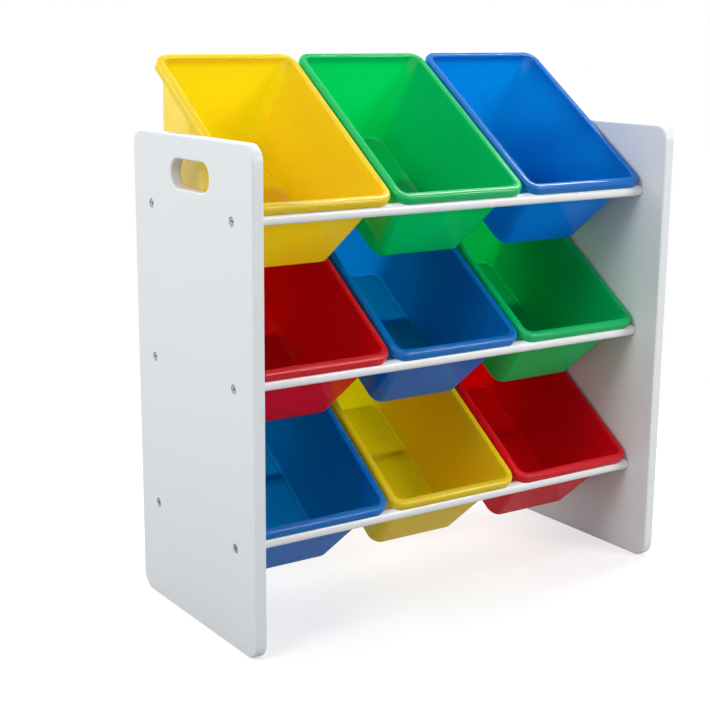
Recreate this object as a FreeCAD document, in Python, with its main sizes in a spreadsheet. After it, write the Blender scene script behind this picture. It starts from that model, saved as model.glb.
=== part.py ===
import FreeCAD, Part
import Sketcher
import math
import os

# Three-tier storage rack: two side panels joined by six rods, with nine tapered bins that
# hang on the rods, leaning back, three to a tier.
# X runs from the left panel to the right one, Y from the front to the back, Z up.
# The origin is on the floor, at the centre of the outline of the whole rack with its bins, which
# reach further back than the panels do.

os.makedirs("parts", exist_ok=True)
doc = FreeCAD.newDocument("storage_rack")

# Driving dimensions in millimetres.
DIMENSIONS = {
    # side panels
    "panel_thickness": 15.0,
    "panel_corner_radius": 20.0,
    "panel_edge_round": 2.5,
    "rod_to_panel_edge": 47.0,
    "lowest_rod_height": 126.5,
    "top_rod_to_panel_top": 88.5,
    # carrying slot near the top of each panel; its ends are full rounds but for a hair's flat
    "slot_length": 95.0,
    "slot_height": 35.0,
    "slot_centre_below_top": 46.0,
    "slot_end_flat": 0.001,
    # rods
    "rod_diameter": 15.0,
    "rod_wall": 1.2,
    "rod_spacing": 200.0,
    "socket_depth": 4.0,
    "socket_clearance": 0.75,
    # threaded plugs in the ends of the rods
    "plug_length": 24.0,
    "plug_clearance": 0.05,
    # screws through the panels into the plugs
    "screw_diameter": 6.0,
    "thread_reach": 16.0,
    "thread_clearance": 0.05,
    "screw_hole_clearance": 0.25,
    "head_diameter": 11.0,
    "head_height": 3.6,
    "head_edge_round": 0.8,
    "head_clearance": 0.4,
    "head_below_surface": 0.8,
    "hex_across_flats": 4.0,
    "hex_depth": 2.4,
    # bins
    "bin_width": 200.0,
    "bin_length": 290.0,
    "bin_depth": 126.0,
    "bin_wall": 2.0,
    "rim_width": 9.5,
    "rim_height": 11.5,
    "rim_thickness": 2.0,
    "rim_corner_radius": 20.0,
    "rim_edge_round": 4.5,
    "side_inset": 32.0,
    "end_inset": 29.0,
    "floor_corner_radius": 16.0,
    "floor_edge_round": 5.5,
    # how the bins stand in the rack
    "bin_gap": 4.0,
    "bin_to_panel": 2.0,
    "tier_clearance": 31.8,
    "seat_clearance": 0.3,
}

# Sizes that follow from the driving ones. The bin's rim rests on the front rod and its floor on
# the rear rod, so the rods' spacing and the bin's depth below the rim give the lean.
# seat_drop and seat_back place the front rod's axis in the bin's own frame: below the rim's top
# face, and behind the rim's front edge, in the corner between the rim's skirt and the front wall.
# The heel is the rounded edge below the rear wall, the bin's rearmost place: bin_overhang is how
# far it stands out behind the panels, and rods_middle puts the rack in the middle of its outline.
FORMULAS = {
    "column_pitch": "=bin_width + bin_gap",
    "inner_width": "=3 * bin_width + 2 * bin_gap + 2 * bin_to_panel",
    "bin_tilt": "=asin((bin_depth - rim_height) / rod_spacing)",
    "row_pitch": "=(bin_depth + tier_clearance) / cos(bin_tilt)",
    "panel_height": "=lowest_rod_height + 2 * row_pitch + top_rod_to_panel_top",
    "panel_depth": "=rod_spacing + 2 * rod_to_panel_edge",
    "rod_length": "=inner_width + 2 * socket_depth",
    "rod_bore": "=rod_diameter - 2 * rod_wall",
    "slot_end_radius": "=slot_height * (0.5 - slot_end_flat)",
    "head_bore_depth": "=head_height + head_below_surface",
    "shank_length": "=panel_thickness - head_bore_depth - socket_depth + thread_reach",
    "wall_top_inset": "=rim_width - bin_wall",
    "wall_slope": "=(end_inset - wall_top_inset) / bin_depth",
    "seat_drop": "=rim_height + rod_diameter / 2 + seat_clearance",
    "seat_back": "=wall_top_inset + wall_slope * seat_drop"
                 " - (rod_diameter / 2 + seat_clearance) * sqrt(1 + wall_slope ^ 2)",
    "bin_before_rod": "=seat_back * cos(bin_tilt) + seat_drop * sin(bin_tilt)",
    "bin_above_rod": "=seat_drop * cos(bin_tilt) - seat_back * sin(bin_tilt)",
    "heel_height": "=bin_depth - floor_edge_round",
    "heel_back": "=bin_length - wall_top_inset - wall_slope * heel_height"
                 " - floor_edge_round * sqrt(1 + wall_slope ^ 2)",
    "heel_reach": "=heel_back * cos(bin_tilt) + heel_height * sin(bin_tilt) + floor_edge_round",
    "bin_overhang": "=heel_reach - bin_before_rod - rod_spacing - rod_to_panel_edge",
    "rods_middle": "=-bin_overhang / 2",
}

# A pocket cuts away at least this volume, and edges this near to a plane lie in it.
LEAST_CUT = 1e-3
SAME_PLANE = 1e-4

ROWS = ("lower", "middle", "upper")
COLUMNS = ("left", "centre", "right")
SIDES = ("front", "rear")

sheet = doc.addObject("Spreadsheet::Sheet", "Sizes")
for line, (alias, content) in enumerate({**DIMENSIONS, **FORMULAS}.items(), start=1):
    sheet.set(f"A{line}", alias)
    sheet.set(f"B{line}", str(content))
    sheet.setAlias(f"B{line}", alias)
doc.recompute()


def value(expression):
    """The number that an expression over the sheet gives now, in millimetres or degrees."""
    result = sheet.evalExpression(expression)
    return float(getattr(result, "Value", result))


def bind(item, prop, expression):
    """Tie a property of an object to an expression over the sheet's names."""
    item.setExpression(prop, expression)


def cell(name):
    """A sheet value's name as other objects write it."""
    return "Sizes." + name


def row_height(row):
    """Height of a tier's rods above the floor."""
    return f"Sizes.lowest_rod_height + {ROWS.index(row)} * Sizes.row_pitch"


def rod_y(side):
    """Place of the front or rear rods along Y."""
    return f"Sizes.rods_middle {'-' if side == 'front' else '+'} Sizes.rod_spacing / 2"


def place(item, x, y, z, axis=(0, 0, 1), angle="0"):
    """Bind an object's position, and its turn in degrees about one axis."""
    turn = FreeCAD.Rotation(FreeCAD.Vector(*axis), 1.0)
    item.Placement = FreeCAD.Placement(FreeCAD.Vector(), turn)
    bind(item, "Placement.Base.x", x)
    bind(item, "Placement.Base.y", y)
    bind(item, "Placement.Base.z", z)
    bind(item, "Placement.Rotation.Angle", angle)


def new_body(label):
    body = doc.addObject("PartDesign::Body", label)
    body.Label = label
    return body


def new_sketch(body, name, plane, offset=None):
    """A sketch on one of the body's own origin planes, moved along its normal by offset."""
    sketch = body.newObject("Sketcher::SketchObject", name)
    for feature in body.Origin.OriginFeatures:
        if feature.Role == plane:
            sketch.AttachmentSupport = (feature, [""])
    sketch.MapMode = "FlatFace"
    if offset:
        bind(sketch, "AttachmentOffset.Base.z", offset)
    return sketch


def constrain(sketch, kind, *where, name=None, expression=None):
    """Add one constraint, and tie its size to an expression where it has one."""
    if expression is None:
        sketch.addConstraint(Sketcher.Constraint(kind, *where))
        return
    index = sketch.addConstraint(Sketcher.Constraint(kind, *where, value(expression)))
    sketch.renameConstraint(index, name)
    bind(sketch, "Constraints." + name, expression)


def rounded_rectangle(sketch, width, low, high, radius, tag="outline"):
    """A rectangle with round corners, centred on the sketch's vertical axis, from low to high.

    low may be None, for a rectangle that starts on the horizontal axis.
    """
    half = value(width) / 2
    y0 = value(low) if low else 0.0
    y1 = value(high)
    r = value(radius)
    first = len(sketch.Geometry)
    corners = ((half, y0), (half, y1), (-half, y1), (-half, y0))
    ways = ((-1, 1), (-1, -1), (1, -1), (1, 1))
    centres = [FreeCAD.Vector(x + r * i, y + r * j, 0) for (x, y), (i, j) in zip(corners, ways)]
    ends = []
    for k, centre in enumerate(centres):
        start_angle = math.radians(90 * k - 90)
        arc = Part.ArcOfCircle(Part.Circle(centre, FreeCAD.Vector(0, 0, 1), r),
                               start_angle, start_angle + math.pi / 2)
        sketch.addGeometry(arc)
        ends.append((arc.StartPoint, arc.EndPoint))
    for k in range(4):
        sketch.addGeometry(Part.LineSegment(ends[k][1], ends[(k + 1) % 4][0]))
    for k in range(4):
        arc, line = first + k, first + 4 + k
        constrain(sketch, "Tangent", arc, 2, line, 1)
        constrain(sketch, "Tangent", line, 2, first + (k + 1) % 4, 1)
        constrain(sketch, "Vertical" if k % 2 == 0 else "Horizontal", line)
    for k in range(1, 4):
        constrain(sketch, "Equal", first, first + k)
    right, top, left, bottom = range(first + 4, first + 8)
    constrain(sketch, "Radius", first, name=tag + "_radius", expression=radius)
    constrain(sketch, "DistanceX", -1, 1, right, 1, name=tag + "_right", expression=f"({width}) / 2")
    constrain(sketch, "DistanceX", left, 1, -1, 1, name=tag + "_left", expression=f"({width}) / 2")
    constrain(sketch, "DistanceY", -1, 1, top, 1, name=tag + "_top", expression=high)
    if low:
        constrain(sketch, "DistanceY", -1, 1, bottom, 1, name=tag + "_bottom", expression=low)
    else:
        constrain(sketch, "PointOnObject", bottom, 1, -1)


def centred_circle(sketch, diameter, tag="hole"):
    """A circle round the sketch's origin."""
    index = sketch.addGeometry(Part.Circle(FreeCAD.Vector(), FreeCAD.Vector(0, 0, 1),
                                           value(diameter) / 2))
    constrain(sketch, "Coincident", index, 3, -1, 1)
    constrain(sketch, "Diameter", index, name=tag + "_diameter", expression=diameter)


def circle_at(sketch, diameter, x, y, left, tag):
    """A circle at x to the right of the sketch's origin, or to the left of it, and y above it."""
    centre = FreeCAD.Vector(-value(x) if left else value(x), value(y), 0)
    index = sketch.addGeometry(Part.Circle(centre, FreeCAD.Vector(0, 0, 1), value(diameter) / 2))
    where = (index, 3, -1, 1) if left else (-1, 1, index, 3)
    constrain(sketch, "Diameter", index, name=tag + "_diameter", expression=diameter)
    constrain(sketch, "DistanceX", *where, name=tag + "_x", expression=x)
    constrain(sketch, "DistanceY", -1, 1, index, 3, name=tag + "_y", expression=y)


def pad(body, sketch, length, reverse=False, middle=False):
    feature = body.newObject("PartDesign::Pad", "Pad")
    feature.Profile = sketch
    feature.Reversed = reverse
    feature.Midplane = middle
    bind(feature, "Length", length)
    doc.recompute()
    return feature


def pocket(body, sketch, length, reverse=False):
    """Cut a sketch's shape out of the body, and make sure that it did cut."""
    before = body.Shape.Volume
    feature = body.newObject("PartDesign::Pocket", "Pocket")
    feature.Profile = sketch
    feature.Reversed = reverse
    bind(feature, "Length", length)
    doc.recompute()
    assert body.Shape.Volume < before - LEAST_CUT, body.Label + ": a pocket cuts nothing"
    return feature


def fillet(body, radius, wanted):
    """Round the edges of the body's tip for which wanted(edge) is true."""
    base = body.Tip
    names = [f"Edge{i}" for i, edge in enumerate(base.Shape.Edges, start=1) if wanted(edge)]
    assert names, body.Label + ": no edges to round"
    feature = body.newObject("PartDesign::Fillet", "Fillet")
    feature.Base = (base, names)
    bind(feature, "Radius", radius)
    doc.recompute()
    return feature


def flat_at(axis, position):
    """A test for edges that lie in the plane at position along X (0), Y (1) or Z (2)."""
    def test(edge):
        box = edge.BoundBox
        low, high = ((box.XMin, box.XMax), (box.YMin, box.YMax), (box.ZMin, box.ZMax))[axis]
        return abs(low - position) < SAME_PLANE and abs(high - position) < SAME_PLANE
    return test


def screw_circles(sketch, diameter):
    """Six circles, where the rods meet a panel."""
    for row in ROWS:
        for side in SIDES:
            circle_at(sketch, diameter, "Sizes.rod_spacing / 2", row_height(row),
                      left=side == "front", tag=f"{row}_{side}")


def side_panel(label, outer_x, angle):
    """A board with round corners and eased edges, a carrying slot, and six bores.

    Each bore is stepped: a recess for the screw's head from outside, a hole for its shank,
    and a shallow socket for the rod from inside. The board's own X runs from its outer face in.
    """
    body = new_body(label)
    outline = new_sketch(body, "Outline", "YZ_Plane")
    rounded_rectangle(outline, cell("panel_depth"), None, cell("panel_height"), cell("panel_corner_radius"))
    middle = "Sizes.panel_height - Sizes.slot_centre_below_top"
    rounded_rectangle(outline, cell("slot_length"), f"{middle} - Sizes.slot_height / 2",
                      f"{middle} + Sizes.slot_height / 2", cell("slot_end_radius"), tag="slot")
    pad(body, outline, cell("panel_thickness"))
    outer_face = flat_at(0, 0.0)
    inner_face = flat_at(0, value("panel_thickness"))
    fillet(body, cell("panel_edge_round"), lambda edge: outer_face(edge) or inner_face(edge))
    heads = new_sketch(body, "HeadRecesses", "YZ_Plane")
    screw_circles(heads, "Sizes.head_diameter + 2 * Sizes.head_clearance")
    pocket(body, heads, cell("head_bore_depth"), reverse=True)
    shanks = new_sketch(body, "ShankHoles", "YZ_Plane")
    screw_circles(shanks, "Sizes.screw_diameter + 2 * Sizes.screw_hole_clearance")
    pocket(body, shanks, cell("panel_thickness"), reverse=True)
    sockets = new_sketch(body, "RodSockets", "YZ_Plane", cell("panel_thickness"))
    screw_circles(sockets, "Sizes.rod_diameter + 2 * Sizes.socket_clearance")
    pocket(body, sockets, cell("socket_depth"))
    place(body, outer_x, cell("rods_middle"), "0", (0, 0, 1), angle)
    return body


def rod(row, side):
    """A tube from panel to panel, its ends in the panels' sockets."""
    body = new_body(f"{row}_{side}_rod")
    section = new_sketch(body, "Section", "YZ_Plane")
    centred_circle(section, cell("rod_diameter"), tag="outside")
    centred_circle(section, cell("rod_bore"), tag="bore")
    pad(body, section, cell("rod_length"), middle=True)
    place(body, "0", rod_y(side), row_height(row))
    return body


def plug(group, row, side, x, angle):
    """A threaded plug, its outer end level with the rod's end. Its own X runs into the rod."""
    body = new_body(f"{group}_{row}_{side}")
    section = new_sketch(body, "Section", "YZ_Plane")
    centred_circle(section, "Sizes.rod_bore - 2 * Sizes.plug_clearance", tag="outside")
    centred_circle(section, "Sizes.screw_diameter + 2 * Sizes.thread_clearance", tag="thread")
    pad(body, section, cell("plug_length"))
    place(body, x, rod_y(side), row_height(row), (0, 0, 1), angle)
    return body


def screw(group, row, side, x, angle):
    """A socket-head screw. Its own X runs from the outer face of its head to its tip."""
    body = new_body(f"{group}_{row}_{side}")
    head = new_sketch(body, "Head", "YZ_Plane")
    centred_circle(head, cell("head_diameter"))
    pad(body, head, cell("head_height"))
    fillet(body, cell("head_edge_round"), flat_at(0, 0.0))
    shank = new_sketch(body, "Shank", "YZ_Plane", cell("head_height"))
    centred_circle(shank, cell("screw_diameter"))
    pad(body, shank, cell("shank_length"))
    hexagon = new_sketch(body, "HexSocket", "YZ_Plane")
    radius = value("hex_across_flats") / math.sqrt(3)
    corners = [FreeCAD.Vector(radius * math.cos(math.radians(60 * k)),
                              radius * math.sin(math.radians(60 * k)), 0) for k in range(6)]
    for k in range(6):
        hexagon.addGeometry(Part.LineSegment(corners[k], corners[(k + 1) % 6]))
    guide = hexagon.addGeometry(Part.Circle(FreeCAD.Vector(), FreeCAD.Vector(0, 0, 1), radius), True)
    for k in range(6):
        constrain(hexagon, "Coincident", k, 2, (k + 1) % 6, 1)
        constrain(hexagon, "PointOnObject", k, 1, guide)
    for k in range(1, 6):
        constrain(hexagon, "Equal", 0, k)
    constrain(hexagon, "Coincident", guide, 3, -1, 1)
    constrain(hexagon, "PointOnObject", 0, 1, -1)
    constrain(hexagon, "Diameter", guide, name="across_corners",
              expression="Sizes.hex_across_flats * 2 / sqrt(3)")
    pocket(body, hexagon, cell("hex_depth"), reverse=True)
    place(body, x, rod_y(side), row_height(row), (0, 0, 1), angle)
    return body


def fastener_group(label, make, x, angle):
    """Six like fasteners of one panel, kept as separate solids under one name."""
    members = [make(label, row, side, x, angle) for row in ROWS for side in SIDES]
    group = doc.addObject("Part::Compound", label)
    group.Label = label
    group.Links = members
    return group


def tapered_block(body, top, foot, edge_round):
    """Loft a block between two rounded rectangles of the bin, and round its lower edges.

    top and foot are each (height, side inset, end inset, corner radius), the insets measured in
    from the rim's edges.
    """
    sections = []
    for name, (height, side_inset, end_inset, radius) in (("Top", top), ("Foot", foot)):
        section = new_sketch(body, name, "XY_Plane", height)
        rounded_rectangle(section, f"Sizes.bin_width - 2 * ({side_inset})", end_inset,
                          f"Sizes.bin_length - ({end_inset})", radius)
        sections.append(section)
    block = body.newObject("PartDesign::AdditiveLoft", "TaperedBlock")
    block.Profile = sections[0]
    block.Sections = sections[1:]
    block.Ruled = True
    doc.recompute()
    fillet(body, edge_round, flat_at(2, value(foot[0])))


def storage_bin(row, column):
    """A moulded tub with tapered walls, round corners and a rim whose skirt turns down.

    Its own Y runs from the rim's front edge to its rear edge, and its rim's top face is at zero
    height, with the floor below.
    """
    label = f"{row}_{column}_bin"
    outside = new_body(label + "_outside")
    rim = new_sketch(outside, "Rim", "XY_Plane")
    rounded_rectangle(rim, cell("bin_width"), None, cell("bin_length"), cell("rim_corner_radius"))
    pad(outside, rim, cell("rim_height"), reverse=True)
    fillet(outside, cell("rim_edge_round"), flat_at(2, 0.0))
    under = new_sketch(outside, "UnderRim", "XY_Plane", "-Sizes.rim_height")
    rounded_rectangle(under, "Sizes.bin_width - 2 * Sizes.rim_thickness", cell("rim_thickness"),
                      "Sizes.bin_length - Sizes.rim_thickness",
                      "Sizes.rim_corner_radius - Sizes.rim_thickness")
    pocket(outside, under, "Sizes.rim_height - Sizes.rim_thickness", reverse=True)
    fillet(outside, "Sizes.rim_edge_round - Sizes.rim_thickness",
           flat_at(2, -value("rim_thickness")))
    tapered_block(outside,
                  ("-Sizes.rim_thickness / 2", cell("wall_top_inset"), cell("wall_top_inset"),
                   "Sizes.rim_corner_radius - Sizes.wall_top_inset"),
                  ("-Sizes.bin_depth", cell("side_inset"), cell("end_inset"), cell("floor_corner_radius")),
                  cell("floor_edge_round"))
    cavity = new_body(label + "_cavity")
    tapered_block(cavity,
                  ("0 mm", cell("rim_width"), cell("rim_width"),
                   "Sizes.rim_corner_radius - Sizes.wall_top_inset - Sizes.bin_wall / 2"),
                  ("Sizes.bin_wall - Sizes.bin_depth", "Sizes.side_inset + Sizes.bin_wall",
                   "Sizes.end_inset + Sizes.bin_wall", "Sizes.floor_corner_radius - Sizes.bin_wall / 2"),
                  "Sizes.floor_edge_round - Sizes.bin_wall")
    for half in (outside, cavity):
        place(half, f"{COLUMNS.index(column) - 1} * Sizes.column_pitch",
              rod_y("front") + " - Sizes.bin_before_rod",
              row_height(row) + " + Sizes.bin_above_rod", (1, 0, 0), cell("bin_tilt"))
    tub = doc.addObject("Part::Cut", label)
    tub.Label = label
    tub.Base = outside
    tub.Tool = cavity
    doc.recompute()
    return tub


PANEL_OUTSIDE = "Sizes.inner_width / 2 + Sizes.panel_thickness"
HEAD_OUTSIDE = PANEL_OUTSIDE + " - Sizes.head_below_surface"
subparts = [
    side_panel("left_side_panel", f"-({PANEL_OUTSIDE})", "0"),
    side_panel("right_side_panel", PANEL_OUTSIDE, "180"),
]
subparts += [rod(row, side) for row in ROWS for side in SIDES]
subparts += [
    fastener_group("left_rod_plugs", plug, "-Sizes.rod_length / 2", "0"),
    fastener_group("right_rod_plugs", plug, "Sizes.rod_length / 2", "180"),
    fastener_group("left_panel_screws", screw, f"-({HEAD_OUTSIDE})", "0"),
    fastener_group("right_panel_screws", screw, HEAD_OUTSIDE, "180"),
]
subparts += [storage_bin(row, column) for row in ROWS for column in COLUMNS]
doc.recompute()

for item in doc.Objects:
    if "Invalid" in item.State or "Error" in item.State:
        raise RuntimeError(f"{item.Label} failed: {item.State}")
for part in subparts:
    if part.Shape.isNull() or not part.Shape.isValid():
        raise RuntimeError(part.Label + " has no valid shape")
for part in subparts:
    part.Shape.exportStep("parts/" + part.Label + ".step")
    print(f"{part.Label}: {len(part.Shape.Solids)} solid(s), {part.Shape.Volume / 1000:.1f} cm3")
for name in ("bin_tilt", "row_pitch", "panel_height", "panel_depth", "rods_middle", "bin_overhang"):
    print(f"{name}: {value(name):.3f}")
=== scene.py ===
import math

import bmesh
import bpy
import numpy as np
from mathutils import Matrix, Vector


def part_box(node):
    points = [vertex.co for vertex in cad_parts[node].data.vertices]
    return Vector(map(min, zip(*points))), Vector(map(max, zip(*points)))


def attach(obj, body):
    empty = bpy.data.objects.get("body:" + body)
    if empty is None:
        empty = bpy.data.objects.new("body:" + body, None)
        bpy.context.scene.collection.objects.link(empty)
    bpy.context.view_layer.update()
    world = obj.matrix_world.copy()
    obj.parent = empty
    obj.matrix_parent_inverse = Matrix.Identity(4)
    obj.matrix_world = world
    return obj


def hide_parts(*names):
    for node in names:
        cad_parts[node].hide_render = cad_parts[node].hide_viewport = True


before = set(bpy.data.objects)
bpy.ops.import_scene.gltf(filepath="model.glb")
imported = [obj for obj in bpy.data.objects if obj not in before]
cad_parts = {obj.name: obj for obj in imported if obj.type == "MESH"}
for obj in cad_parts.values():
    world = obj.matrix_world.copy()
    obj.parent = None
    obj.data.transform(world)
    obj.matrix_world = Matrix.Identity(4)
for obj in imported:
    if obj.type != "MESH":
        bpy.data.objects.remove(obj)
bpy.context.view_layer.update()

MM = 0.001

# Camera
# It stands in front of the left panel and a little above the rack. Its place, direction and focal
# length come from a camera fitted to the corners of the panels and bins in the photograph.
IMAGE_SIDE = 710
FOCAL_PIXELS = 1437.9
SENSOR_WIDTH = 36
CAMERA_PLACE = Vector((-1.0978, -1.5092, 0.7246))
CAMERA_YAW, CAMERA_DOWN, CAMERA_ROLL = (math.radians(angle) for angle in (34.05, 12.88, 0.40))

lens_data = bpy.data.cameras.new("camera")
lens_data.sensor_width = SENSOR_WIDTH
lens_data.lens = lens_data.sensor_width * FOCAL_PIXELS / IMAGE_SIDE
camera = bpy.data.objects.new("camera", lens_data)
bpy.context.collection.objects.link(camera)
camera.matrix_world = (Matrix.Translation(CAMERA_PLACE)
                       @ Matrix.Rotation(-CAMERA_YAW, 4, "Z")
                       @ Matrix.Rotation(math.pi / 2 - CAMERA_DOWN, 4, "X")
                       @ Matrix.Rotation(CAMERA_ROLL, 4, "Z"))
bpy.context.scene.camera = camera
bpy.context.scene.view_settings.view_transform = "Standard"


# Studio: light, surroundings and floor
# Five soft boxes and an even pale surround light the rack. The surround looks white to the eye and in
# reflections. The floor is a matt grey, lifted for the eye, and farther off it fades to white.
SURROUND_LIGHT = 0.45
SURROUND_TINT = (0.96, 0.98, 1.0, 1)
WHITE = (1, 1, 1, 1)
SOFT_BOXES = {
    # name: (place, point it faces, width and height in metres, watts)
    "left_box": ((-2.1, -0.6, 1.8), (0.0, 0.0, 0.35), (0.9, 0.9), 23.0),
    "left_back_box": ((-1.9, 1.4, 1.7), (0.0, 0.1, 0.4), (1.4, 1.4), 13.0),
    "front_box": ((1.3, -2.0, 1.2), (0.0, 0.0, 0.35), (0.9, 0.4), 25.0),
    "top_box": ((1.5, 0.05, 2.5), (0.0, 0.0, 0.4), (0.4, 0.9), 20.0),
    "back_box": ((0.6, 2.4, 1.8), (0.0, 0.1, 0.45), (3.4, 2.2), 62.0),
}
FLOOR_HALF = 4.0
FLOOR_GREY = (0.50, 0.50, 0.50, 1)
FLOOR_LIFT = 0.56
FADE_START, FADE_END = 0.45, 1.3


def nodes_of(tree):
    """The tree's node maker and link maker."""
    return tree.nodes.new, tree.links.new


def seen_as_white(new, link):
    """1 for rays from the camera, a reflection or a transmission, and 0 for rays that carry light."""
    path = new("ShaderNodeLightPath")
    glossy = new("ShaderNodeMath")
    glossy.operation = "MAXIMUM"
    link(path.outputs["Is Camera Ray"], glossy.inputs[0])
    link(path.outputs["Is Glossy Ray"], glossy.inputs[1])
    seen = new("ShaderNodeMath")
    seen.operation = "MAXIMUM"
    link(glossy.outputs[0], seen.inputs[0])
    link(path.outputs["Is Transmission Ray"], seen.inputs[1])
    return seen.outputs[0]


surround = bpy.data.worlds.new("surround")
bpy.context.scene.world = surround
surround.use_nodes = True
surround.node_tree.nodes.clear()
new, link = nodes_of(surround.node_tree)
light = new("ShaderNodeBackground")
light.inputs["Color"].default_value = SURROUND_TINT
light.inputs["Strength"].default_value = SURROUND_LIGHT
white = new("ShaderNodeBackground")
white.inputs["Color"].default_value = WHITE
white.inputs["Strength"].default_value = 1.0
choice = new("ShaderNodeMixShader")
link(seen_as_white(new, link), choice.inputs["Fac"])
link(light.outputs[0], choice.inputs[1])
link(white.outputs[0], choice.inputs[2])
link(choice.outputs[0], new("ShaderNodeOutputWorld").inputs["Surface"])

for name, (place, target, size, watts) in SOFT_BOXES.items():
    lamp_data = bpy.data.lights.new(name, "AREA")
    lamp_data.shape = "RECTANGLE"
    lamp_data.size, lamp_data.size_y = size
    lamp_data.energy = watts
    lamp = bpy.data.objects.new(name, lamp_data)
    lamp.location = place
    lamp.rotation_euler = (Vector(target) - Vector(place)).to_track_quat("-Z", "Y").to_euler()
    bpy.context.collection.objects.link(lamp)

floor_mesh = bpy.data.meshes.new("floor")
corners = np.array([(-1, -1, 0), (1, -1, 0), (1, 1, 0), (-1, 1, 0)]) * FLOOR_HALF
floor_mesh.from_pydata(corners.tolist(), [], [(0, 1, 2, 3)])
floor = bpy.data.objects.new("floor", floor_mesh)
bpy.context.collection.objects.link(floor)

floor_finish = bpy.data.materials.new("floor_white")
floor_finish.use_nodes = True
floor_finish.node_tree.nodes.clear()
new, link = nodes_of(floor_finish.node_tree)
matt = new("ShaderNodeBsdfDiffuse")
matt.inputs["Color"].default_value = FLOOR_GREY
lift = new("ShaderNodeEmission")
lift.inputs["Strength"].default_value = FLOOR_LIFT
lifted = new("ShaderNodeAddShader")
link(matt.outputs[0], lifted.inputs[0])
link(lift.outputs[0], lifted.inputs[1])
shown = new("ShaderNodeMixShader")
link(new("ShaderNodeLightPath").outputs["Is Camera Ray"], shown.inputs["Fac"])
link(matt.outputs[0], shown.inputs[1])
link(lifted.outputs[0], shown.inputs[2])
where = new("ShaderNodeTexCoord")
distance = new("ShaderNodeVectorMath")
distance.operation = "LENGTH"
link(where.outputs["Object"], distance.inputs[0])
fade = new("ShaderNodeMapRange")
fade.interpolation_type = "SMOOTHSTEP"
fade.inputs["From Min"].default_value = FADE_START
fade.inputs["From Max"].default_value = FADE_END
link(distance.outputs["Value"], fade.inputs["Value"])
far = new("ShaderNodeEmission")
fading = new("ShaderNodeMath")
fading.operation = "MULTIPLY"
link(fade.outputs[0], fading.inputs[0])
link(seen_as_white(new, link), fading.inputs[1])
surface = new("ShaderNodeMixShader")
link(fading.outputs[0], surface.inputs["Fac"])
link(shown.outputs[0], surface.inputs[1])
link(far.outputs[0], surface.inputs[2])
link(surface.outputs[0], new("ShaderNodeOutputMaterial").inputs["Surface"])
floor_mesh.materials.append(floor_finish)


# Side panels
# Two boards of 15 mm fibreboard with round corners and routed edges, sprayed with satin white paint.
# Each has a carrying slot, and six bores that take a screw's head outside and a rod's end inside.
EDGE_ROUND = 2.5 * MM
PANEL_CORNER = 20 * MM
FACE_BORDER = 0.6 * MM
SLOT_LENGTH, SLOT_HEIGHT, SLOT_BELOW_TOP = 95 * MM, 35 * MM, 46 * MM
SLOT_END_FLAT = 0.02 * MM
HEAD_BORE, HEAD_BORE_DEPTH = 11.8 * MM, 4.4 * MM
SHANK_BORE = 6.5 * MM
SOCKET_BORE, SOCKET_DEPTH = 16.5 * MM, 4 * MM
BORE_EASE = 0.25 * MM
BORE_POINTS = 48
BOARD_ARC_STEPS, EDGE_STEPS = 12, 6
SIDE_SHARES = (0.02, 0.34, 0.66, 0.98)
SHARP_DEGREES = 30
SAME_PLANE = 0.01 * MM
PAINT_WHITE = (0.75, 0.775, 0.79, 1)
ROWS = ("lower", "middle", "upper")
SIDES = ("front", "rear")


def rod_axis(row, side):
    """Y and Z of a rod's axis: the middle of its box."""
    low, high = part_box(f"{row}_{side}_rod")
    return (low.y + high.y) / 2, (low.z + high.z) / 2


def rounded_outlines(half_width, low, high, radius, arc_steps):
    """Rectangles with round corners as an array (rectangle, point, 2), anticlockwise.

    Each is centred on x = 0 and reaches from y = low to y = high. A point on a corner is the
    corner's centre plus the radius at an angle that runs through a quarter turn. Four more points
    divide each straight side, two of them close to its ends, so that a flat side is shaded flat.
    """
    measures = [np.atleast_1d(np.asarray(a, float)) for a in (half_width, low, high, radius)]
    half_width, low, high, radius = np.broadcast_arrays(*measures)
    quarter = np.linspace(0, np.pi / 2, arc_steps + 1)
    angles = quarter[None, :] + np.pi / 2 * (np.arange(4)[:, None] - 1)
    right, left = half_width - radius, radius - half_width
    centre_x = np.stack([right, right, left, left], 1)
    centre_y = np.stack([low + radius, high - radius, high - radius, low + radius], 1)
    arcs = np.stack([centre_x[:, :, None] + radius[:, None, None] * np.cos(angles),
                     centre_y[:, :, None] + radius[:, None, None] * np.sin(angles)], -1)
    start = arcs[:, :, -1:, :]
    end = np.roll(arcs, -1, axis=1)[:, :, :1, :]
    share = np.array(SIDE_SHARES)[None, None, :, None]
    return np.concatenate([arcs, start + (end - start) * share], 2).reshape(len(radius), -1, 2)


def rings_to_faces(rings, points, offset=0, closed=False):
    """Four-sided faces between each ring of points and the next, and round each ring.

    closed joins the last ring to the first, as in a tube that returns on itself.
    """
    i = np.arange(rings if closed else rings - 1)[:, None]
    j = np.arange(points)[None, :]
    after = (i + 1) % rings
    beside = (j + 1) % points
    return np.stack([i * points + j, after * points + j, after * points + beside,
                     i * points + beside], -1).reshape(-1, 4) + offset


def make_piece(name, vertices, faces, sharp_degrees=SHARP_DEGREES):
    """A smooth-shaded object, with edges sharper than the given angle kept crisp."""
    mesh = bpy.data.meshes.new(name)
    mesh.from_pydata(np.asarray(vertices).tolist(), [], [list(map(int, face)) for face in faces])
    mesh.shade_smooth()
    mesh.set_sharp_from_angle(angle=math.radians(sharp_degrees))
    piece = bpy.data.objects.new(name, mesh)
    bpy.context.collection.objects.link(piece)
    return piece


def quarter_round(radius, steps):
    """Distances in and along of a quarter circle that leaves one face and meets the other."""
    angle = np.linspace(0, np.pi / 2, steps + 1)
    return radius * (1 - np.sin(angle)), radius * (1 - np.cos(angle))


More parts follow.
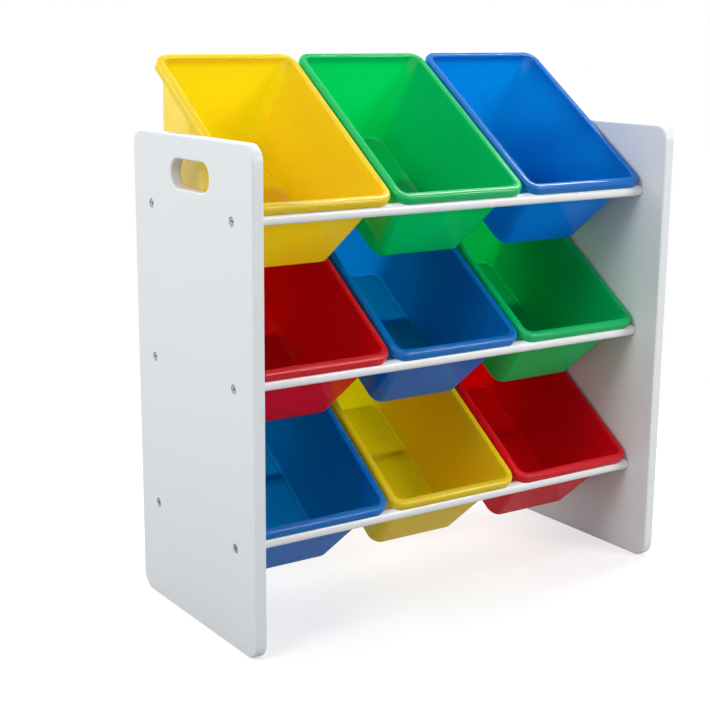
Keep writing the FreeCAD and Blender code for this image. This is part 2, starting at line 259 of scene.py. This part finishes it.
def board(name, node, inward):
    """A panel's surface: its routed rim, its slot, its bores, and the two flat faces between them.

    Each opening and the rim is a profile carried round an outline: the profile gives the depth below
    the outer face and how far the outline is offset there. inward is the way from the outer face to
    the inner one along X.
    """
    low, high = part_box(node)
    thickness = high.x - low.x
    outer_x = low.x if inward > 0 else high.x
    middle_y = (low.y + high.y) / 2
    half_depth = (high.y - low.y) / 2
    into, along = quarter_round(EDGE_ROUND, EDGE_STEPS)
    border = [EDGE_ROUND + FACE_BORDER]
    inset = np.concatenate([border, into, into[::-1], border])
    depth = np.concatenate([[0], along, thickness - along[::-1], [thickness]])
    outlines = [rounded_outlines(half_depth - inset, low.z + inset, high.z - inset,
                                 PANEL_CORNER - inset, BOARD_ARC_STEPS)]
    depths = [depth]
    slot_z = high.z - SLOT_BELOW_TOP
    half_slot = SLOT_HEIGHT / 2 - SLOT_END_FLAT
    outlines.append(rounded_outlines(SLOT_LENGTH / 2 + inset, slot_z - SLOT_HEIGHT / 2 - inset,
                                     slot_z + SLOT_HEIGHT / 2 + inset, half_slot + inset,
                                     BOARD_ARC_STEPS))
    depths.append(depth)
    head, shank, socket = HEAD_BORE / 2, SHANK_BORE / 2, SOCKET_BORE / 2
    socket_floor = thickness - SOCKET_DEPTH
    bore_radius = np.array([head + BORE_EASE, head, head, shank, shank, socket, socket,
                            socket + BORE_EASE])
    bore_depth = np.array([0, BORE_EASE, HEAD_BORE_DEPTH, HEAD_BORE_DEPTH, socket_floor,
                           socket_floor, thickness - BORE_EASE, thickness])
    turn = np.linspace(0, 2 * np.pi, BORE_POINTS, endpoint=False)
    circle = np.stack([np.cos(turn), np.sin(turn)], -1)
    for row in ROWS:
        for side in SIDES:
            axis = np.array(rod_axis(row, side)) - (middle_y, 0)
            outlines.append(axis + bore_radius[:, None, None] * circle)
            depths.append(bore_depth)
    vertices, faces, total = [], [], 0
    for outline, depth in zip(outlines, depths):
        rings, points = outline.shape[:2]
        x = np.broadcast_to(outer_x + inward * depth[:, None], (rings, points))
        ring_points = np.stack([x, outline[..., 0] + middle_y, outline[..., 1]], -1)
        vertices.append(ring_points.reshape(-1, 3))
        faces.append(rings_to_faces(rings, points, total))
        total += rings * points
    piece = make_piece(name, np.concatenate(vertices), np.concatenate(faces))
    shape = bmesh.new()
    shape.from_mesh(piece.data)
    for x in (outer_x, outer_x + inward * thickness):
        rim = [e for e in shape.edges if e.is_boundary and abs(e.verts[0].co.x - x) < SAME_PLANE]
        made = bmesh.ops.triangle_fill(shape, use_beauty=True, edges=rim)
        for item in made["geom"]:
            if isinstance(item, bmesh.types.BMFace):
                item.smooth = False
    bmesh.ops.recalc_face_normals(shape, faces=shape.faces)
    shape.to_mesh(piece.data)
    shape.free()
    piece.data.set_sharp_from_angle(angle=math.radians(SHARP_DEGREES))
    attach(piece, "rack")
    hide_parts(node)
    return piece


def effect_group(name, inputs, outputs):
    """An empty shader group with named sockets, its node maker, link maker, and its two ends."""
    tree = bpy.data.node_groups.new(name, "ShaderNodeTree")
    for label, kind, default in inputs:
        socket = tree.interface.new_socket(label, in_out="INPUT", socket_type=kind)
        socket.default_value = default
    for label, kind in outputs:
        tree.interface.new_socket(label, in_out="OUTPUT", socket_type=kind)
    new, link = nodes_of(tree)
    return tree, new, link, new("NodeGroupInput"), new("NodeGroupOutput")


def surface_variation():
    """Shader group: a finish that is never quite even.

    Broad noise lightens and darkens the colour, finer noise makes it glossier and duller, and the
    finest gives the height of the surface's grain.
    """
    tree, new, link, given, result = effect_group(
        "surface_variation",
        [("Colour", "NodeSocketColor", WHITE), ("Tone Spread", "NodeSocketFloat", 0.03),
         ("Tone Scale", "NodeSocketFloat", 5.0), ("Roughness", "NodeSocketFloat", 0.4),
         ("Roughness Spread", "NodeSocketFloat", 0.08), ("Patch Scale", "NodeSocketFloat", 60.0),
         ("Grain Scale", "NodeSocketFloat", 700.0)],
        [("Colour", "NodeSocketColor"), ("Roughness", "NodeSocketFloat"),
         ("Height", "NodeSocketFloat")])
    where = new("ShaderNodeTexCoord")

    def noise(scale_socket, detail):
        texture = new("ShaderNodeTexNoise")
        texture.inputs["Detail"].default_value = detail
        link(where.outputs["Object"], texture.inputs["Vector"])
        link(given.outputs[scale_socket], texture.inputs["Scale"])
        return texture.outputs["Fac"]

    def spread_about(centre, fac, spread):
        """centre + (2 * fac - 1) * spread, where centre is a socket or a number."""
        offset = new("ShaderNodeMath")
        offset.operation = "MULTIPLY_ADD"
        link(fac, offset.inputs[0])
        offset.inputs[1].default_value = 2.0
        offset.inputs[2].default_value = -1.0
        total = new("ShaderNodeMath")
        total.operation = "MULTIPLY_ADD"
        link(offset.outputs[0], total.inputs[0])
        link(spread, total.inputs[1])
        if isinstance(centre, float):
            total.inputs[2].default_value = centre
        else:
            link(centre, total.inputs[2])
        return total.outputs[0]

    tone = spread_about(1.0, noise("Tone Scale", detail=3.0), given.outputs["Tone Spread"])
    coloured = new("ShaderNodeVectorMath")
    coloured.operation = "SCALE"
    link(given.outputs["Colour"], coloured.inputs[0])
    link(tone, coloured.inputs["Scale"])
    link(coloured.outputs[0], result.inputs["Colour"])
    patches = noise("Patch Scale", detail=2.0)
    link(spread_about(given.outputs["Roughness"], patches, given.outputs["Roughness Spread"]),
         result.inputs["Roughness"])
    link(noise("Grain Scale", detail=1.0), result.inputs["Height"])
    return tree


variation = surface_variation()


def finish(name, settings, bump_strength, bump_distance, **shader_sockets):
    """A material: the shared variation feeds colour, roughness and bump, the rest is set as given."""
    material = bpy.data.materials.new(name)
    material.use_nodes = True
    tree = material.node_tree
    tree.nodes.clear()
    new, link = nodes_of(tree)
    effect = new("ShaderNodeGroup")
    effect.node_tree = variation
    for label, amount in settings.items():
        effect.inputs[label].default_value = amount
    shader = new("ShaderNodeBsdfPrincipled")
    link(effect.outputs["Colour"], shader.inputs["Base Color"])
    link(effect.outputs["Roughness"], shader.inputs["Roughness"])
    bump = new("ShaderNodeBump")
    bump.inputs["Strength"].default_value = bump_strength
    bump.inputs["Distance"].default_value = bump_distance
    link(effect.outputs["Height"], bump.inputs["Height"])
    link(bump.outputs["Normal"], shader.inputs["Normal"])
    for label, amount in shader_sockets.items():
        shader.inputs[label.replace("_", " ")].default_value = amount
    link(shader.outputs[0], new("ShaderNodeOutputMaterial").inputs["Surface"])
    return material


panel_paint = finish(
    "satin_white_paint",
    {"Colour": PAINT_WHITE, "Tone Spread": 0.012, "Tone Scale": 4.0, "Roughness": 0.42,
     "Roughness Spread": 0.06, "Patch Scale": 35.0, "Grain Scale": 420.0},
    bump_strength=0.06, bump_distance=0.3 * MM)
for name, node, inward in (("left_board", "left_side_panel", 1),
                           ("right_board", "right_side_panel", -1)):
    board(name, node, inward).data.materials.append(panel_paint)


# Rods
# Six steel tubes, 15 mm across, with a smooth white enamel. Their ends stand in the panels' sockets.
ROD_WALL = 1.2 * MM
ROD_END_ROUND = 0.4 * MM
ROD_POINTS = 64
ENAMEL_WHITE = (0.86, 0.87, 0.88, 1)


def turned(profile, points, start):
    """Rings of points (ring, point, 3) about a line along X: each ring has its x and its radius."""
    x, radius = np.asarray(profile, float).T
    turn = np.linspace(0, 2 * np.pi, points, endpoint=False)
    return np.stack([np.broadcast_to(x[:, None], (len(x), points)),
                     radius[:, None] * np.cos(turn), radius[:, None] * np.sin(turn)], -1) + start


rod_enamel = finish(
    "white_enamel",
    {"Colour": ENAMEL_WHITE, "Tone Spread": 0.01, "Tone Scale": 9.0, "Roughness": 0.26,
     "Roughness Spread": 0.05, "Patch Scale": 50.0, "Grain Scale": 260.0},
    bump_strength=0.03, bump_distance=0.05 * MM)
for row in ROWS:
    for side in SIDES:
        node = f"{row}_{side}_rod"
        low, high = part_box(node)
        outer = (high.z - low.z) / 2
        section = [(low.x, outer - ROD_END_ROUND), (low.x + ROD_END_ROUND, outer),
                   (high.x - ROD_END_ROUND, outer), (high.x, outer - ROD_END_ROUND),
                   (high.x, outer - ROD_WALL), (low.x, outer - ROD_WALL)]
        tube = turned(section, ROD_POINTS, (0, *rod_axis(row, side)))
        faces = rings_to_faces(len(section), ROD_POINTS, closed=True)
        rod = make_piece(f"{row}_{side}_tube", tube.reshape(-1, 3), faces)
        rod.data.materials.append(rod_enamel)
        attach(rod, "rack")
        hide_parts(node)


# Plugs
# Moulded nylon plugs in the tubes' ends, which the screws bite into. They are out of sight, so they
# keep their own shape and only get a material.
NYLON_CREAM = (0.62, 0.61, 0.57, 1)
plug_nylon = finish(
    "natural_nylon",
    {"Colour": NYLON_CREAM, "Tone Spread": 0.04, "Tone Scale": 60.0, "Roughness": 0.55,
     "Roughness Spread": 0.08, "Patch Scale": 300.0, "Grain Scale": 1500.0},
    bump_strength=0.15, bump_distance=0.1 * MM)
for node in ("left_rod_plugs", "right_rod_plugs"):
    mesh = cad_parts[node].data
    mesh.materials.clear()
    mesh.materials.append(plug_nylon)


# Screws
# Zinc-plated socket-head screws, sunk in the panels' outer faces. Their heads are turned, with a
# hexagon socket, and their shanks reach through the panels into the plugs.
HEAD_RADIUS, HEAD_HEIGHT, HEAD_ROUND = 5.5 * MM, 3.6 * MM, 0.8 * MM
SHANK_RADIUS = 3.0 * MM
TIP_TAPER, TIP_SHARE = 0.6 * MM, 0.8
HEX_FLATS, HEX_DEPTH, HEX_EASE = 4.0 * MM, 2.4 * MM, 0.12 * MM
HEX_FLOOR_SHARE, HEX_MOUTH_SHARE = 0.25, 1.30
SCREW_POINTS, HEAD_STEPS = 48, 4
ZINC_GREY = (0.46, 0.47, 0.48, 1)


def screw_rings(head_x, tip_x, inward, axis):
    """A screw as rings of points: out of the socket's floor, over the head, and along the shank.

    In the socket the radius at each angle is that of a hexagon: half its flats over the cosine of
    the angle to the nearest flat's middle.
    """
    turn = np.linspace(0, 2 * np.pi, SCREW_POINTS, endpoint=False)
    hexagon = HEX_FLATS / 2 / np.cos(turn % (np.pi / 3) - np.pi / 6)
    into, along = quarter_round(HEAD_ROUND, HEAD_STEPS)
    round_edge = list(zip(along, HEAD_RADIUS - into))
    length = abs(tip_x - head_x)
    circles = ([(0, HEX_FLATS / 2 * HEX_MOUTH_SHARE)] + round_edge
               + [(HEAD_HEIGHT, HEAD_RADIUS), (HEAD_HEIGHT, SHANK_RADIUS),
                  (length - TIP_TAPER, SHANK_RADIUS), (length, SHANK_RADIUS * TIP_SHARE)])
    radii = np.array([HEX_FLOOR_SHARE * hexagon, hexagon, hexagon, hexagon + HEX_EASE]
                     + [np.full(SCREW_POINTS, radius) for _, radius in circles])
    depth = np.array([HEX_DEPTH, HEX_DEPTH, HEX_EASE, 0] + [distance for distance, _ in circles])
    x = np.broadcast_to(head_x + inward * depth[:, None], radii.shape)
    return np.stack([x, axis[0] + radii * np.cos(turn), axis[1] + radii * np.sin(turn)], -1)


screw_steel = finish(
    "zinc_plated_steel",
    {"Colour": ZINC_GREY, "Tone Spread": 0.08, "Tone Scale": 400.0, "Roughness": 0.34,
     "Roughness Spread": 0.1, "Patch Scale": 900.0, "Grain Scale": 4000.0},
    bump_strength=0.25, bump_distance=0.05 * MM, Metallic=1.0)
for node, name, inward in (("left_panel_screws", "left_screws", 1),
                           ("right_panel_screws", "right_screws", -1)):
    low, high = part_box(node)
    head_x, tip_x = (low.x, high.x) if inward > 0 else (high.x, low.x)
    vertices, faces = [], []
    for row in ROWS:
        for side in SIDES:
            rings = screw_rings(head_x, tip_x, inward, rod_axis(row, side))
            first = sum(map(len, vertices))
            vertices.append(rings.reshape(-1, 3))
            faces += rings_to_faces(len(rings), SCREW_POINTS, first).tolist()
            faces.append(list(range(first + SCREW_POINTS - 1, first - 1, -1)))
            last = first + (len(rings) - 1) * SCREW_POINTS
            faces.append(list(range(last, last + SCREW_POINTS)))
    screws = make_piece(name, np.concatenate(vertices), faces)
    if inward < 0:
        screws.data.flip_normals()
    screws.data.materials.append(screw_steel)
    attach(screws, "rack")
    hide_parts(node)


# Bins
# Nine injection-moulded polypropylene tubs. Each has tapered walls 2 mm thick, round corners, and a
# rolled rim with a skirt. It hangs by the rim on its front rod, with its floor on the rear rod.
BIN_WIDTH, BIN_LENGTH, BIN_DEPTH, BIN_WALL = 200 * MM, 290 * MM, 126 * MM, 2 * MM
RIM_WIDTH, RIM_HEIGHT, RIM_THICKNESS = 9.5 * MM, 11.5 * MM, 2 * MM
RIM_CORNER, RIM_ROUND, LIP_ROUND, SKIRT_ROUND = 20 * MM, 4.5 * MM, 2.5 * MM, 0.7 * MM
SIDE_INSET, END_INSET = 32 * MM, 29 * MM
FLOOR_CORNER, FLOOR_ROUND = 16 * MM, 5.5 * MM
BEAD_WIDTH, BEAD_HEIGHT, BEAD_FROM_WALL = 3 * MM, 1 * MM, 0.3 * MM
SEAT_GAP = 0.3 * MM
ROD_RADIUS = 7.5 * MM
SMALLEST_CORNER = 1 * MM
WALL_SHARES = (0, 0.01, 0.25, 0.5, 0.75, 0.99)
FLOOR_SHARES = (0.05, 0.5, 0.9)
FOOT_START = 0.02  # the foot's first row, as an angle round its circle in radians
FOOT_POINTS, LIP_POINTS, BEAD_POINTS = 9, 6, 9
BIN_ARC_STEPS, RIM_STEPS, SKIRT_STEPS, HOLLOW_STEPS = 9, 8, 3, 4
BIN_SHARP_DEGREES = 40
COLUMNS = ("left", "centre", "right")


def tapered_wall(start, top_height, floor_height, top, side_foot, end_foot, corners, edge_round):
    """Heights, side insets, end insets and corner radii of one face of the wall, from the top down.

    An inset is how far in from the rim's edge the wall stands. It grows evenly with the depth down to
    the foot, and there it follows a circle that touches both the slope and the floor: the circle's
    centre minus its half chord at that height. The corners' radius changes evenly with the depth.
    start is the first row's height, top the inset at top_height, side_foot and end_foot the insets at
    floor_height, and corners the radii at those two heights.
    """
    foot_top = floor_height + edge_round
    straight = np.array(WALL_SHARES)
    angle = np.linspace(FOOT_START, np.pi / 2, FOOT_POINTS)
    heights = np.concatenate([start + (foot_top - start) * straight,
                              foot_top - edge_round * np.sin(angle)])
    depth = (top_height - heights) / (top_height - floor_height)
    half_chord = np.sqrt(np.maximum(edge_round ** 2 - (heights - foot_top) ** 2, 0))
    insets = []
    for foot in (side_foot, end_foot):
        slope = (foot - top) / (top_height - floor_height)
        sloping = top + (foot - top) * depth
        centre = top + slope * (top_height - foot_top) + edge_round * math.hypot(1, slope)
        touch = foot_top - edge_round * slope / math.hypot(1, slope)
        insets.append(np.where(heights < touch, centre - half_chord, sloping))
    drawn_in = insets[0] - (top + (side_foot - top) * depth)
    corner = corners[0] + (corners[1] - corners[0]) * depth - drawn_in
    return np.stack([heights, *insets, np.maximum(corner, SMALLEST_CORNER)], -1)


def rolled_rim(inner_slope):
    """The rim's section from the inner wall over the top to its own underside, as tapered_wall's rows.

    Arcs of a circle round the lip, the outer edge and the hollow under it, and the skirt's lower edge.
    """
    lean = math.atan(inner_slope)
    lip_angle = np.linspace(lean, np.pi / 2, LIP_POINTS)
    lip_centre = RIM_WIDTH + LIP_ROUND * (inner_slope * (1 - math.sin(lean)) - math.cos(lean))
    lip = np.stack([LIP_ROUND * (np.sin(lip_angle) - 1),
                    lip_centre + LIP_ROUND * np.cos(lip_angle)], -1)
    into, down = quarter_round(RIM_ROUND, RIM_STEPS)
    edge = np.stack([-down, into], -1)
    skirt_in, skirt_down = quarter_round(SKIRT_ROUND, SKIRT_STEPS)
    skirt_height = SKIRT_ROUND - skirt_down - RIM_HEIGHT
    bottom_out = np.stack([skirt_height, skirt_in], -1)[::-1]
    bottom_in = np.stack([skirt_height, RIM_THICKNESS - skirt_in], -1)
    hollow_in, hollow_down = quarter_round(RIM_ROUND - RIM_THICKNESS, HOLLOW_STEPS)
    hollow = np.stack([-RIM_THICKNESS - hollow_down, RIM_THICKNESS + hollow_in], -1)[::-1]
    section = np.concatenate([lip, edge, bottom_out, bottom_in[::-1], hollow])
    height, inset = section.T
    return np.stack([height, inset, inset, RIM_CORNER - inset], -1)


def bead_section():
    """The low bead round the floor's inside: distances in from the foot of the wall, and heights.

    Its height follows one minus the cosine of a full turn over its width, halved.
    """
    share = np.linspace(0, 1, BEAD_POINTS)
    return (BEAD_FROM_WALL + BEAD_WIDTH * share,
            BEAD_HEIGHT * (1 - np.cos(2 * np.pi * share)) / 2)


def tub(name, node):
    """A bin's whole skin: rings of rounded rectangles from the inside floor up the inner wall, over
    the rim and its skirt, under it, and down the outer wall to the underside.

    The rings lie in the bin's own frame, its rim level. Then they lean back by the angle at which the
    rim's underside is on the front rod and the floor on the rear rod.
    """
    row = node.split("_")[0]
    low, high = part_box(node)
    front_y, rod_z = rod_axis(row, "front")
    rear_y, _ = rod_axis(row, "rear")
    tilt = math.asin((BIN_DEPTH - RIM_HEIGHT) / (rear_y - front_y))
    wall_top = RIM_WIDTH - BIN_WALL
    slope = (END_INSET - wall_top) / BIN_DEPTH
    seat_drop = RIM_HEIGHT + ROD_RADIUS + SEAT_GAP
    seat_back = wall_top + slope * seat_drop - (ROD_RADIUS + SEAT_GAP) * math.hypot(1, slope)

    inner_slope = (SIDE_INSET + BIN_WALL - RIM_WIDTH) / (BIN_DEPTH - BIN_WALL)
    rim = rolled_rim(inner_slope)
    inner = tapered_wall(rim[0, 0], 0, BIN_WALL - BIN_DEPTH, RIM_WIDTH, SIDE_INSET + BIN_WALL,
                         END_INSET + BIN_WALL,
                         (RIM_CORNER - wall_top - BIN_WALL / 2, FLOOR_CORNER - BIN_WALL / 2),
                         FLOOR_ROUND - BIN_WALL)
    outer = tapered_wall(-RIM_THICKNESS, -RIM_THICKNESS / 2, -BIN_DEPTH, wall_top, SIDE_INSET,
                         END_INSET, (RIM_CORNER - wall_top, FLOOR_CORNER), FLOOR_ROUND)
    foot = inner[-1]
    into, up = bead_section()
    bead = np.stack([foot[0] + up, foot[1] + into, foot[2] + into, foot[3] - into], -1)
    height, side, end, corner = np.concatenate([bead[::-1], inner[:0:-1], rim, outer]).T
    outlines = rounded_outlines(BIN_WIDTH / 2 - side, end, BIN_LENGTH - end, corner, BIN_ARC_STEPS)
    middle = np.array([0, BIN_LENGTH / 2])
    share = np.array(FLOOR_SHARES)[:, None, None]
    outlines = np.concatenate([middle + (outlines[:1] - middle) * share, outlines,
                               middle + (outlines[-1:] - middle) * share[::-1]])
    height = np.concatenate([np.full(len(share), height[0]), height,
                             np.full(len(share), height[-1])])
    along = outlines[..., 1] - seat_back
    above = np.broadcast_to(height[:, None] + seat_drop, along.shape)
    points = np.stack([(low.x + high.x) / 2 + outlines[..., 0],
                       front_y + along * math.cos(tilt) - above * math.sin(tilt),
                       rod_z + along * math.sin(tilt) + above * math.cos(tilt)], -1)
    rings, around = points.shape[:2]
    faces = rings_to_faces(rings, around).tolist()
    faces.append(list(range(around)))
    faces.append(list(range(rings * around - 1, (rings - 1) * around - 1, -1)))
    return make_piece(name, points.reshape(-1, 3), faces, BIN_SHARP_DEGREES)


def bin_plastic(name, colour, reach):
    """Moulded plastic that lets light through. reach is how far red, green and blue get, in mm."""
    return finish(
        name,
        {"Colour": (*colour, 1), "Tone Spread": 0.02, "Tone Scale": 7.0, "Roughness": 0.10,
         "Roughness Spread": 0.03, "Patch Scale": 45.0, "Grain Scale": 900.0},
        bump_strength=0.02, bump_distance=0.02 * MM, IOR=1.49, Specular_IOR_Level=0.27,
        Subsurface_Weight=1.0, Subsurface_Radius=reach, Subsurface_Scale=MM)


PLASTICS = {
    "yellow": bin_plastic("yellow_polypropylene", (0.93, 0.62, 0.015), (5.0, 9.0, 0.15)),
    "green": bin_plastic("green_polypropylene", (0.002, 0.50, 0.13), (0.1, 11.0, 8.0)),
    "blue": bin_plastic("blue_polypropylene", (0.003, 0.158, 0.58), (0.1, 12.0, 11.0)),
    "red": bin_plastic("red_polypropylene", (0.75, 0.004, 0.014), (8.0, 0.1, 0.3)),
}
TIER_COLOURS = {
    "upper": ("yellow", "green", "blue"),
    "middle": ("red", "blue", "green"),
    "lower": ("blue", "yellow", "red"),
}
for row, colours in TIER_COLOURS.items():
    for column, colour in zip(COLUMNS, colours):
        node = f"{row}_{column}_bin"
        moulding = tub(f"{row}_{column}_tub", node)
        moulding.data.materials.append(PLASTICS[colour])
        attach(moulding, node)
        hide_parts(node)
